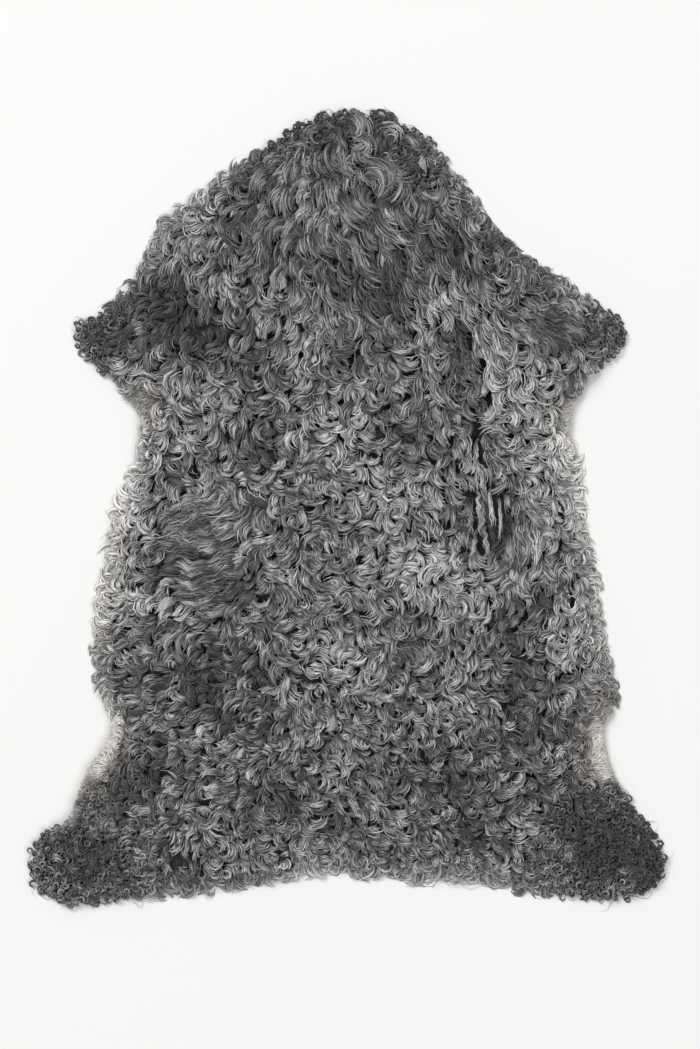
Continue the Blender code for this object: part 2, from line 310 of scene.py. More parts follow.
bed_shape = node_mesh("fleece")
flat_places = np.array([v.co[:2] for v in bed_shape.verts])
outside = inward(flat_places) < -LOCK_FOOT
bmesh.ops.delete(bed_shape, geom=[v for v, out in zip(bed_shape.verts, outside) if out], context="VERTS")
bmesh.ops.holes_fill(bed_shape, edges=[e for e in bed_shape.edges if e.is_boundary], sides=5)
bmesh.ops.recalc_face_normals(bed_shape, faces=bed_shape.faces)
wool_form = BVHTree.FromBMesh(bed_shape)

SLAB_RIM_HEIGHT = 0.0085  # of the wool over the pelt's edge
FLOOR_WOOL = 0.0020  # height of the wool that lies on the floor
ROOT_FALL = 0.014  # the wool comes down to the floor over this distance outside the pelt
RAY_START = 0.2  # above all the wool
heights = np.empty(len(grid_points))
for i, ((x, y), edge) in enumerate(zip(grid_points, edge_map.ravel())):
    hit = wool_form.ray_cast(Vector((x, y, RAY_START)), Vector((0, 0, -1)))[0] if edge > -0.001 else None
    if hit is None or hit.z < FLEECE_FOOT + 0.0005:
        heights[i] = SLAB_RIM_HEIGHT + (FLOOR_WOOL - SLAB_RIM_HEIGHT) * min(1.0, max(0.0, -edge / ROOT_FALL))
    else:
        heights[i] = hit.z
height_map = mapped(heights)
for _ in range(2):  # softens the solid's facets
    padded = np.pad(height_map, 1, mode="edge")
    rows = 4 * height_map + padded[:-2, 1:-1] + padded[2:, 1:-1]
    height_map = (rows + padded[1:-1, :-2] + padded[1:-1, 2:]) / 8

for vert in bed_shape.verts:
    vert.co.z = FLEECE_FOOT + (vert.co.z - FLEECE_FOOT) * UNDERWOOL_HEIGHT
for face in bed_shape.faces:
    face.smooth = True


def underwool_material():
    """Short tangled wool, painted near black as painted shade between the curls, with faint crimped streaks 2
    mm apart, and matt pale skin.
    """
    material, tree, shader = surface("dense_underwool_painted_shade")
    place = add(tree, "ShaderNodeTexCoord").outputs["Object"]
    streaks = add(
        tree, "ShaderNodeTexWave", {"Vector": place, "Scale": 130.0, "Distortion": 14.0, "Detail": 2.0}
    )
    # Painted shade: this near-black colour stands for the shadow that falls between the curls.
    tone = ramp(tree, streaks.outputs["Fac"], (0.2, "#0c0c0d"), (0.9, "#313234"))
    bare = add(tree, "ShaderNodeAttribute", attribute_name="bare").outputs["Fac"]
    skin = add(tree, "ShaderNodeMix", {0: bare, 6: tone, 7: linear("#dcd3c7")}, data_type="RGBA")
    bump = add(tree, "ShaderNodeBump", {"Height": streaks.outputs["Fac"], "Strength": 1.0, "Distance": 0.002})
    tree.links.new(skin.outputs[2], shader.inputs["Base Color"])
    tree.links.new(bump.outputs["Normal"], shader.inputs["Normal"])
    shader.inputs["Roughness"].default_value = 0.8
    return material


underwool = finished("underwool", bed_shape, "fleece")
underwool.data.materials.append(underwool_material())
bare = underwool.data.attributes.new("bare", "FLOAT", "POINT")
bare.data.foreach_set("value", 1 - fullness(np.array([v.co[:2] for v in underwool.data.vertices])))

# ---- Neck tufts and ropes --------------------------------------------------------------------------------
# The long wool of the neck, which falls in big tufts and hooks, and the thin ropes that hang across the
# parting in the right flank. Each is a bundle of lustrous fibres that grow out of the skin side by side and
# taper to the tip. It is built as flat ribbons, painted darker as painted shade, with paler fine strands over
# them, all of them closed tubes.

DEGREE = math.pi / 180
# Tufts that lie on top of the coat, set one by one after the photo: place, x and y of the root, heading and
# turn in degrees, length, breadth, tone.
SWEEPS = (
    ("crest tuft", 0.007, 0.493, -15, -120, 0.040, 0.0180, 0.55),
    ("right crest tuft", 0.044, 0.468, 60, -190, 0.036, 0.0140, 0.62),
    ("far right crest tuft", 0.071, 0.461, 20, -150, 0.026, 0.0120, 0.42),
    ("left crest tuft", -0.035, 0.473, 150, 160, 0.028, 0.0130, 0.40),
    ("arcs under the crest tuft", -0.015, 0.451, -140, 120, 0.038, 0.0180, 0.42),
    ("arcs left of them", -0.030, 0.446, -130, 100, 0.034, 0.0120, 0.38),
    ("arcs right of the crest tuft", 0.017, 0.466, -10, -130, 0.036, 0.0140, 0.50),
    ("swirl", 0.020, 0.424, 20, -150, 0.056, 0.0260, 0.54),
    ("swirl's outside", 0.046, 0.433, -30, -130, 0.052, 0.0150, 0.50),
    ("stream into the swirl", -0.002, 0.389, -75, 60, 0.042, 0.0220, 0.46),
    ("middle of the nape", -0.020, 0.409, -95, 30, 0.036, 0.0220, 0.56),
    ("left of the nape", -0.058, 0.433, -150, 70, 0.032, 0.0200, 0.48),
    ("left of the neck", -0.070, 0.396, -140, 80, 0.030, 0.0200, 0.47),
    ("far left of the neck", -0.097, 0.418, -160, 70, 0.030, 0.0180, 0.45),
    ("first hook", -0.030, 0.344, -115, 110, 0.034, 0.0160, 0.48),
    ("second hook", -0.011, 0.349, -110, 100, 0.032, 0.0130, 0.48),
    ("third hook", 0.007, 0.344, -105, 95, 0.030, 0.0130, 0.52),
    ("fourth hook", 0.024, 0.352, -100, 85, 0.032, 0.0140, 0.50),
    ("fifth hook", 0.042, 0.342, -95, 80, 0.028, 0.0130, 0.46),
    ("right of the swirl", 0.073, 0.409, -75, -60, 0.034, 0.0180, 0.38),
    ("far right of the swirl", 0.096, 0.384, -80, -50, 0.032, 0.0180, 0.34),
    ("first rope", 0.162, 0.022, -92, 10, 0.045, 0.0026, 0.66),
    ("second rope", 0.171, 0.014, -88, -12, 0.046, 0.0023, 0.60),
    ("third rope", 0.179, 0.024, -90, 12, 0.042, 0.0024, 0.72),
    ("fourth rope", 0.154, 0.006, -96, 8, 0.040, 0.0023, 0.58),
    ("fifth rope", 0.189, 0.012, -84, -10, 0.044, 0.0026, 0.64),
    ("rope beside the slit", 0.163, 0.086, -97, 20, 0.038, 0.0028, 0.62),
    ("rope left of the slit", 0.151, 0.091, -84, -14, 0.036, 0.0040, 0.60),
    ("rope below the slit", 0.168, 0.051, -85, 14, 0.034, 0.0026, 0.62),
    ("low rope", 0.173, -0.023, -88, 16, 0.040, 0.0028, 0.62),
    ("lower rope", 0.162, -0.028, -94, -12, 0.038, 0.0028, 0.60),
)
# How much farther or less far the wool hangs out over the edge, as a share, set one by one where the render's
# outline had differed from the photo's: place, x, y, reach in x and y, change.
OVERHANG = (
    ("right of the crest", 0.080, 0.475, 0.045, 0.024, 0.50),
    ("left of the crest", -0.050, 0.490, 0.030, 0.018, 0.30),
    ("left shoulder rim", -0.220, 0.360, 0.030, 0.025, 0.50),
    ("left fore leg", -0.300, 0.262, 0.040, 0.026, 0.45),
    ("right fore leg", 0.345, 0.226, 0.025, 0.022, 0.26),
    ("right of the neck", 0.199, 0.343, 0.022, 0.020, 0.25),
    ("under the left fore leg", -0.300, 0.155, 0.034, 0.022, -0.60),
    ("left elbow", -0.262, 0.081, 0.020, 0.030, -0.60),
    ("under the right fore leg", 0.315, 0.155, 0.036, 0.032, -0.80),
    ("right flank", 0.306, -0.036, 0.020, 0.030, -0.30),
    ("left hind leg", -0.345, -0.485, 0.060, 0.030, 0.36),
    ("right hind leg", 0.355, -0.480, 0.055, 0.035, 0.46),
    ("left of the tail", -0.200, -0.475, 0.100, 0.030, 0.30),
    ("right of the tail", 0.090, -0.465, 0.120, 0.030, 0.54),
    ("right ham", 0.270, -0.490, 0.080, 0.030, 0.54),
)
# Wool bleached to cream: place, x, y, reach in x and y, share.
CREAM = (
    ("left flank edge", -0.306, -0.025, 0.036, 0.110, 0.70),
    ("left haunch edge", -0.316, -0.162, 0.020, 0.074, 0.28),
    ("right flank edge", 0.304, 0.030, 0.025, 0.077, 0.60),
    ("below the right flank", 0.322, -0.112, 0.020, 0.074, 0.35),
    ("right elbow", 0.280, 0.105, 0.027, 0.037, 0.55),
    ("left elbow", -0.250, 0.123, 0.027, 0.045, 0.55),
    ("left thigh", -0.318, -0.292, 0.034, 0.062, 1.00),
    ("right thigh", 0.320, -0.298, 0.034, 0.050, 0.85),
    ("right haunch edge", 0.329, -0.224, 0.017, 0.050, 0.30),
)
ROPE_BREADTH = 0.010  # a sweep that is narrower hangs as a wavy rope
LOCK_DEPTH = 0.12  # of its width
LOCK_SIDES = 3
NECK_STREAK = 0.0012  # across one bundle of fibres
CUT_BACK = 0.82  # of the length, at each try
ROOT_SINK = 0.0030  # of the roots into the fleece's form


def wool_tree():
    """Geometry Nodes that grow a curled lock or strand from each root point, by the root's own attributes."""
    tree = bpy.data.node_groups.new("grow_wool", "GeometryNodeTree")
    for name, kind in (
        ("Geometry", "Geometry"),
        ("Points along", "Int"),
        ("Sides", "Int"),
        ("Depth share", "Float"),
        ("Frizz", "Float"),
        ("Seed", "Int"),
        ("Wool", "Material"),
    ):
        tree.interface.new_socket(name, in_out="INPUT", socket_type=f"NodeSocket{kind}")
    tree.interface.new_socket("Geometry", in_out="OUTPUT", socket_type="NodeSocketGeometry")
    given = add(tree, "NodeGroupInput").outputs

    def named(name, kind="FLOAT"):
        node = add(tree, "GeometryNodeInputNamedAttribute", {"Name": name}, data_type=kind)
        return node.outputs["Attribute"]

    def sum_of(operation, a, b=0.0, c=0.0):
        return add(tree, "ShaderNodeMath", {0: a, 1: b, 2: c}, operation=operation).outputs[0]

    def curve_of(value, *points):
        node = add(tree, "ShaderNodeFloatCurve", {"Value": value})
        curve = node.mapping.curves[0]
        curve.points[0].location, curve.points[-1].location = (0.0, points[0][1]), (1.0, points[-1][1])
        for at, height in points[1:-1]:
            curve.points.new(at, height)
        node.mapping.update()
        return node.outputs[0]

    line = add(tree, "GeometryNodeCurvePrimitiveLine", {"Start": (0, 0, 0), "End": (1, 0, 0)})
    line = add(
        tree, "GeometryNodeResampleCurve", {"Curve": line.outputs[0], "Count": given["Points along"]}
    )
    copies = add(
        tree, "GeometryNodeInstanceOnPoints", {"Points": given["Geometry"], "Instance": line.outputs[0]}
    )
    strands = add(tree, "GeometryNodeRealizeInstances", {"Geometry": copies.outputs[0]}).outputs[0]

    share = add(tree, "GeometryNodeSplineParameter").outputs["Factor"]
    where = add(tree, "GeometryNodeCurveOfPoint").outputs
    gap = sum_of("DIVIDE", 1.0, sum_of("SUBTRACT", given["Points along"], 1.0))
    middle = sum_of("MAXIMUM", sum_of("MULTIPLY_ADD", gap, -0.5, share), 0.0)
    frizz = add(
        tree,
        "FunctionNodeRandomValue",
        {2: sum_of("MULTIPLY", given["Frizz"], -1.0), 3: given["Frizz"], "Seed": given["Seed"]},
        data_type="FLOAT",
    )
    hook = sum_of("MULTIPLY", named("turn"), sum_of("POWER", middle, named("tighten")))
    swing = sum_of("MULTIPLY_ADD", middle, named("waves"), named("phase"))
    swing = sum_of("MULTIPLY", named("sway"), sum_of("SINE", sum_of("MULTIPLY", swing, math.tau)))
    angle = sum_of("ADD", sum_of("ADD", named("heading"), hook), sum_of("ADD", swing, frizz.outputs[1]))
    started = sum_of("GREATER_THAN", where["Index in Curve"], 0.5)
    pace = sum_of("MULTIPLY", sum_of("MULTIPLY", named("length"), gap), started)
    step_x = sum_of("MULTIPLY", pace, sum_of("COSINE", angle))
    step_y = sum_of("MULTIPLY", pace, sum_of("SINE", angle))
    step = add(tree, "ShaderNodeCombineXYZ", {"X": step_x, "Y": step_y})
    walked = add(
        tree,
        "GeometryNodeAccumulateField",
        {"Value": step.outputs[0], "Group Index": where["Curve Index"]},
        data_type="FLOAT_VECTOR",
        domain="POINT",
    )
    taper = curve_of(share, (0, 0.5), (0.2, 0.9), (0.5, 1.0), (0.8, 0.74), (1, 0.15))
    half_width = sum_of("MULTIPLY", named("width"), sum_of("MULTIPLY", taper, 0.5))
    arch = curve_of(share, (0, 0.0), (0.2, 0.5), (0.45, 0.95), (0.7, 1.0), (1, 0.85))
    lift = sum_of("MULTIPLY_ADD", named("rise"), arch, sum_of("MULTIPLY", named("drop"), share))
    lift = sum_of("SUBTRACT", lift, sum_of("MULTIPLY", named("tuck"), sum_of("POWER", share, 4.0)))
    root = named("root", "FLOAT_VECTOR")
    place = add(tree, "ShaderNodeVectorMath", {0: root, 1: walked.outputs["Leading"]})
    spot = add(tree, "ShaderNodeSeparateXYZ", {0: place.outputs[0]}).outputs
    lowest = sum_of("MULTIPLY", half_width, given["Depth share"])  # where it lies on the floor
    height = sum_of("MAXIMUM", sum_of("ADD", spot["Z"], lift), lowest)
    place = add(tree, "ShaderNodeCombineXYZ", {"X": spot["X"], "Y": spot["Y"], "Z": height})
    laid = add(tree, "GeometryNodeSetPosition", {"Geometry": strands, "Position": place.outputs[0]})
    level = add(tree, "GeometryNodeSetCurveNormal", {"Curve": laid.outputs[0]}, mode="Z_UP")
    marked = add(
        tree,
        "GeometryNodeStoreNamedAttribute",
        {"Geometry": level.outputs[0], "Name": "along", "Value": share},
    )

    ring = add(tree, "GeometryNodeCurvePrimitiveCircle", {"Resolution": given["Sides"], "Radius": 1.0})
    flat = add(tree, "ShaderNodeCombineXYZ", {"X": 1.05, "Y": given["Depth share"], "Z": 1.0})
    ridge_up = (0, 0, -math.pi / 2)
    turned = add(tree, "GeometryNodeTransform", {"Geometry": ring.outputs[0], "Rotation": ridge_up})
    section = add(tree, "GeometryNodeTransform", {"Geometry": turned.outputs[0], "Scale": flat.outputs[0]})
    at = add(tree, "ShaderNodeSeparateXYZ", {0: add(tree, "GeometryNodeInputPosition").outputs[0]})
    across = sum_of("MULTIPLY_ADD", at.outputs["X"], 0.5, 0.5)
    section = add(
        tree,
        "GeometryNodeStoreNamedAttribute",
        {"Geometry": section.outputs[0], "Name": "across", "Value": across},
    )
    tubes = add(
        tree,
        "GeometryNodeCurveToMesh",
        {
            "Curve": marked.outputs[0],
            "Profile Curve": section.outputs[0],
            "Scale": half_width,
            "Fill Caps": True,
        },
    )
    shaded = add(tree, "GeometryNodeSetShadeSmooth", {"Geometry": tubes.outputs[0]})
    real = add(tree, "GeometryNodeRealizeInstances", {"Geometry": shaded.outputs[0]})
    woolly = add(tree, "GeometryNodeSetMaterial", {"Geometry": real.outputs[0], "Material": given["Wool"]})
    add(tree, "NodeGroupOutput", {"Geometry": woolly.outputs[0]})
    return tree


def wool_material():
    """Lustrous curly wool: bundles of smooth fibres, which give streaks along each lock and a silky shine.

    One fibre is 0.04 mm thick, too fine to show, so the streaks are bundles of them, 1 to 2 mm apart; they
    are partly their own tone and partly painted shade, darker in the low grooves of the bump. A lock is
    painted darker towards its root and along its edges, as painted shade, and the bleached ones are cream.
    """
    material, tree, shader = surface("lustrous_curly_wool")

    def named(name):
        return add(tree, "ShaderNodeAttribute", attribute_name=name).outputs["Fac"]

    def sum_of(operation, a, b):
        return add(tree, "ShaderNodeMath", {0: a, 1: b}, operation=operation).outputs[0]

    along, tone = named("along"), named("tone")
    fan = sum_of("MULTIPLY", named("across"), named("streaks"))
    seat = add(tree, "ShaderNodeCombineXYZ", {"X": fan, "Y": along, "Z": named("seed")})
    stretch = add(
        tree, "ShaderNodeVectorMath", {0: seat.outputs[0], 1: (1.0, 1.6, 61.0)}, operation="MULTIPLY"
    )
    fibres = add(tree, "ShaderNodeTexNoise", {"Vector": stretch.outputs[0], "Scale": 1.0, "Detail": 1.0})
    # Streaks: partly the bundles' own tone, partly painted shade, darker in the bump's low grooves between
    # them.
    streak = add(
        tree, "ShaderNodeMapRange", {"Value": fibres.outputs["Fac"], 1: 0.37, 2: 0.63, 3: -0.22, 4: 0.22}
    )
    # Painted shade: each lock is painted darker over the first half from its root, where the curls above
    # shade it.
    depth = add(tree, "ShaderNodeMapRange", {"Value": along, 1: 0.0, 2: 0.55, 3: -0.34, 4: 0.0})
    # Painted shade: the lock's edges are painted a little darker, where it meets its neighbours.
    off_centre = sum_of("ABSOLUTE", sum_of("SUBTRACT", named("across"), 0.5), 0.0)
    side = add(tree, "ShaderNodeMapRange", {"Value": off_centre, 1: 0.28, 2: 0.5, 3: 0.0, 4: -0.05})
    # shade is the painted shade at the root and at the edges together, added to the tone.
    shade = sum_of("ADD", depth.outputs[0], side.outputs[0])
    mixed = sum_of("ADD", sum_of("ADD", tone, streak.outputs[0]), shade)
    greys = ((0.0, "#161617"), (0.25, "#3a3a3c"), (0.5, "#757678"), (0.75, "#a9aaab"), (1.0, "#d8d6d2"))
    grey = ramp(tree, mixed, *greys)
    pale = ramp(tree, mixed, (0.0, "#4e4742"), (0.5, "#a39c94"), (1.0, "#e4e0d9"))
    cream = add(tree, "ShaderNodeMix", {0: named("cream"), 6: grey, 7: pale}, data_type="RGBA")
    bump = add(tree, "ShaderNodeBump", {"Height": fibres.outputs["Fac"], "Strength": 1.0, "Distance": 0.0014})
    tree.links.new(cream.outputs[2], shader.inputs["Base Color"])
    tree.links.new(bump.outputs["Normal"], shader.inputs["Normal"])
    shader.inputs["Roughness"].default_value = 0.52
    shader.inputs["IOR"].default_value = 1.55
    shader.inputs["Specular IOR Level"].default_value = 0.42
    shader.inputs["Sheen Weight"].default_value = 0.2
    return material


wool = wool_material()
grow = wool_tree()
rng = np.random.default_rng(7)


def summed(table, points):
    """The sum of what all places in a table of x, y, reach in x and y and change do at each point."""
    total = np.zeros(len(points))
    for _, x, y, across, along, change in table:
        total += change * np.exp(-(((points[:, 0] - x) / across) ** 2) - ((points[:, 1] - y) / along) ** 2)
    return total


def path_points(locks, steps):
    """The x, y that each lock passes, by the same rule as the Geometry Nodes, and its direction there."""
    share = (np.arange(steps) + 0.5) / steps
    swing = np.sin(math.tau * (share[None, :] * locks["waves"][:, None] + locks["phase"][:, None]))
    angle = (
        locks["heading"][:, None]
        + locks["turn"][:, None] * share[None, :] ** locks["tighten"][:, None]
        + locks["sway"][:, None] * swing
    )
    pace = (locks["length"] / steps)[:, None, None]
    walked = np.cumsum(np.stack([np.cos(angle), np.sin(angle)], axis=2) * pace, axis=1)
    return locks["place"][:, None, :] + walked, angle


def strands_of(locks, count, widths, spread, depth=LOCK_DEPTH):
    """Fine strands over each lock: side by side, and concentric where it hooks."""
    number = len(locks["heading"]) * count
    loose = {name: np.repeat(values, count, axis=0) for name, values in locks.items()}
    lane = np.tile((np.arange(count) + 0.5) / count - 0.5, number // count)
    across = (lane + rng.uniform(-0.5, 0.5, number) / count) * spread
    side = across * loose["width"]
    normal = np.stack([-np.sin(loose["heading"]), np.cos(loose["heading"])], axis=1)
    loose["place"] = loose["place"] + normal * side[:, None]
    loose["place"] -= normal[:, ::-1] * np.array([1, -1]) * rng.uniform(-0.002, 0.003, number)[:, None]
    fray = 0.13 * np.minimum(1, loose["width"] / ROPE_BREADTH)
    loose["heading"] = loose["heading"] - 0.5 * side / loose["length"] + rng.normal(0, 1, number) * fray
    loose["length"] = loose["length"] * np.clip(1 - 0.8 * side * loose["turn"] / loose["length"], 0.4, 1.7)
    loose["length"] *= rng.uniform(0.75, 1.2, number)
    dome = 0.5 * depth * loose["width"] * (1 - 3.2 * across**2)
    loose["level"] = loose["level"] + dome + rng.uniform(0, 0.0008, number)
    loose["turn"] = loose["turn"] * rng.uniform(0.8, 1.25, number)
    loose["width"] = rng.uniform(*widths, number)
    loose["tuck"] = loose["tuck"] * rng.uniform(0.2, 1.0, number)
    loose["tone"] = loose["tone"] + rng.normal(0.0, 0.045, number)
    loose["streaks"] = np.ones(number)
    loose["seed"] = rng.uniform(0, 1, number)
    return loose


def settled(roots, steps, reach_out):
    """Shortens what would hang out too far, and adds each root's height and how far it is bleached."""
    roots = dict(roots)
    for _ in range(4):
        path = path_points(roots, steps)[0]
        farthest = -sample(edge_map, path).min(axis=1)
        tip = path[:, -1]
        limit = reach_out * (0.2 + 0.8 * fullness(tip))
        limit = limit * (1 + 0.5 * summed(CREAM, tip) + summed(OVERHANG, tip))
        roots["length"] = np.where(farthest > limit, roots["length"] * CUT_BACK, roots["length"])
    path = path_points(roots, steps)[0]
    start, middle, end = (sample(height_map, p) for p in (roots["place"], path[:, steps // 2], path[:, -1]))
    roots["drop"] = end - start
    roots["rise"] = roots["rise"] + middle - (start + end) / 2
    roots["root"] = np.column_stack([roots["place"], start - ROOT_SINK + roots["level"]])
    roots["cream"] = np.clip(summed(CREAM, path[:, steps // 2]) + rng.normal(0, 0.08, len(start)), 0, 1)
    return {k: v for k, v in roots.items() if k not in ("place", "level")}


def grown(roots, settings):
    """The mesh of all strands that Geometry Nodes grow from these roots: a dict of attribute to array."""
    mesh = bpy.data.meshes.new("roots")
    mesh.vertices.add(len(roots["length"]))
    mesh.vertices.foreach_set("co", roots["root"].astype(np.float32).ravel())
    for name, values in roots.items():
        vector = name == "root"
        layer = mesh.attributes.new(name, "FLOAT_VECTOR" if vector else "FLOAT", "POINT")
        flat = np.ascontiguousarray(values, np.float32).ravel()
        layer.data.foreach_set("vector" if vector else "value", flat)
    holder = bpy.data.objects.new("roots", mesh)
    scene.collection.objects.link(holder)
    modifier = holder.modifiers.new("grow", "NODES")
    modifier.node_group = grow
    for item in grow.interface.items_tree:
        if item.in_out == "INPUT" and item.name in settings:
            modifier[item.identifier] = settings[item.name]
    graph = bpy.context.evaluated_depsgraph_get()
    result = bpy.data.meshes.new_from_object(holder.evaluated_get(graph), depsgraph=graph)
    bpy.data.objects.remove(holder)
    for name in [a.name for a in result.attributes]:
        if name in roots and name not in ("tone", "seed", "cream", "streaks"):
            result.attributes.remove(result.attributes[name])
    return result


def banded(roots, bands):
    """Parts the roots into groups of equal number from the neck to the tail."""
    order = np.argsort(-roots["root"][:, 1])
    return [{k: v[part] for k, v in roots.items()} for part in np.array_split(order, bands)]


def grow_pieces(name, roots, along, depth, frizz, seed, bands=("",)):
    """The pieces that grow from these roots: one for each band from neck to tail, or a single one."""
    settings = {
        "Points along": along,
        "Sides": LOCK_SIDES,
        "Depth share": depth,
        "Frizz": frizz,
        "Seed": seed,
        "Wool": wool,
    }
    for band, part in zip(bands, banded(roots, len(bands))):
        finished(f"{name}_{band}" if band else name, grown(part, settings), "fleece")


x, y, heading, turn, length, breadth, tone = np.array([sweep[1:] for sweep in SWEEPS]).T
number = len(x)
bundles = {
    "place": np.stack([x, y], axis=1),
    "heading": heading * DEGREE,
    "turn": turn * DEGREE,
    "tighten": rng.uniform(0.9, 1.3, number),
    "sway": np.where(breadth < ROPE_BREADTH, 0.60, 0.12),
    "waves": length / 0.015,
    "phase": rng.uniform(0, 1, number),
    "length": length,
    "width": breadth,
    "rise": 0.0030 + 0.10 * breadth,
    "tuck": np.full(number, 0.0020),
    "level": 0.0015 + 0.10 * breadth,
    "tone": tone,
    "streaks": np.ones(number),
    "seed": rng.uniform(0, 1, number),
}
locks = strands_of(bundles, 4, (0.30, 0.42), 1.0)
locks["width"] *= np.repeat(breadth, 4)
locks["streaks"] = locks["width"] / NECK_STREAK
# Painted shade: the ribbons under the strands are painted darker, so that they read as the shadow between
# them.
locks["tone"] -= 0.08
sweep_roots = settled(locks, 7, reach_out=0.012)
# Painted light: the strands over the ribbons are painted paler.
bundles["tone"] += 0.02
bundles["level"] += 0.0004
sweep_strands = settled(strands_of(bundles, 15, (0.0011, 0.0018), 1.1), 6, reach_out=0.012)
grow_pieces("neck_tufts", sweep_roots, along=9, depth=LOCK_DEPTH, frizz=0.03, seed=3)
grow_pieces("neck_tuft_strands", sweep_strands, along=7, depth=0.5, frizz=0.05, seed=4)

# ---- Tufts of the coat -----------------------------------------------------------------------------------
# The coat itself. Its fibres grow in tufts that hook round together over the roots, which are painted dark as
# painted shade. Where the wool was combed out they lie in long waves, and the nape is silky. Each tuft is two
# broad ribbons, painted darker as painted shade, under paler fine strands.

# The tables below were set one by one after the photo: the places are parts of the sheep, in metres on the
# rug.
# The legs' ends, where the curls are small ringlets: place, x, y, radius.
RINGLET_ENDS = (
    ("left fore", -0.330, 0.215, 0.055),
    ("right fore", 0.335, 0.210, 0.052),
    ("left hind", -0.350, -0.440, 0.120),
    ("right hind", 0.355, -0.430, 0.125),
    ("left of the crest", -0.060, 0.455, 0.045),
    ("crest", 0.015, 0.487, 0.032),
    ("right of the crest", 0.092, 0.440, 0.048),
)
# Long wool that was combed out flat: place, x, y, reach in x and y.
COMBED = (
    ("left flank field", -0.165, -0.050, 0.055, 0.085),
    ("right of the parting", 0.215, -0.030, 0.026, 0.060),
    ("right shoulder", 0.250, 0.235, 0.040, 0.028),
)
# Silky wool in short waves: place, x, y, reach in x and y.
SILKY = (
    ("nape", 0.010, 0.392, 0.085, 0.070),
    ("left of the neck", -0.072, 0.360, 0.058, 0.070),
)
# Thick locks like fingers, in rows that all bend over one way: place, x, y, reach in x and y.
FINGERS = (
    ("withers", 0.045, 0.290, 0.090, 0.055),
    ("right of the neck", 0.135, 0.335, 0.045, 0.070),
    ("right shoulder", 0.165, 0.225, 0.045, 0.060),
    ("parting", 0.172, 0.000, 0.022, 0.075),
    ("left shoulder", -0.190, 0.300, 0.035, 0.030),
)
# The lie: place, x, y, reach, direction of the tips in degrees from +X, evenness from 0 to 1.
LIES = (
    ("crest", 0.017, 0.480, 0.050, -80, 0.3),
    ("left of the crest", -0.070, 0.430, 0.045, -150, 0.7),
    ("right of the crest", 0.100, 0.430, 0.045, -50, 0.6),
    ("left of the neck", -0.075, 0.375, 0.060, -128, 0.9),
    ("nape", 0.020, 0.395, 0.055, -92, 0.85),
    ("under the nape", 0.000, 0.330, 0.045, -68, 0.8),
    ("withers", 0.050, 0.265, 0.060, -78, 0.8),
    ("left withers", -0.065, 0.245, 0.060, -97, 0.7),
    ("left shoulder", -0.165, 0.250, 0.060, -98, 0.7),
    ("left shoulder rim", -0.240, 0.310, 0.055, -140, 0.6),
    ("left fore leg", -0.285, 0.225, 0.050, -165, 0.7),
    ("behind the left elbow", -0.190, 0.095, 0.060, -100, 0.3),
    ("left flank field", -0.165, -0.050, 0.065, 178, 0.9),
    ("left flank edge", -0.285, -0.050, 0.050, -125, 0.5),
    ("lower left flank", -0.215, -0.150, 0.070, 182, 0.65),
    ("right of the neck", 0.145, 0.330, 0.060, -88, 0.8),
    ("right shoulder", 0.165, 0.215, 0.060, -93, 0.8),
    ("outer right shoulder", 0.245, 0.240, 0.050, -18, 0.8),
    ("right fore leg", 0.305, 0.225, 0.040, -45, 0.5),
    ("middle of the back", -0.030, 0.050, 0.090, -75, 0.2),
    ("right of the spine", 0.110, 0.055, 0.050, -68, 0.7),
    ("parting", 0.172, 0.000, 0.040, -90, 1.0),
    ("right flank", 0.250, 0.020, 0.050, -55, 0.5),
    ("lower right flank", 0.255, -0.120, 0.060, -100, 0.6),
    ("loin", -0.030, -0.150, 0.080, -60, 0.25),
    ("right loin", 0.085, -0.165, 0.045, -86, 0.7),
    ("left rump", -0.150, -0.265, 0.080, 180, 0.6),
    ("right rump", 0.160, -0.265, 0.080, -45, 0.3),
    ("left ham", -0.245, -0.370, 0.060, -120, 0.2),
    ("tail", 0.000, -0.410, 0.100, -28, 0.6),
    ("right ham", 0.190, -0.370, 0.080, -15, 0.5),
)
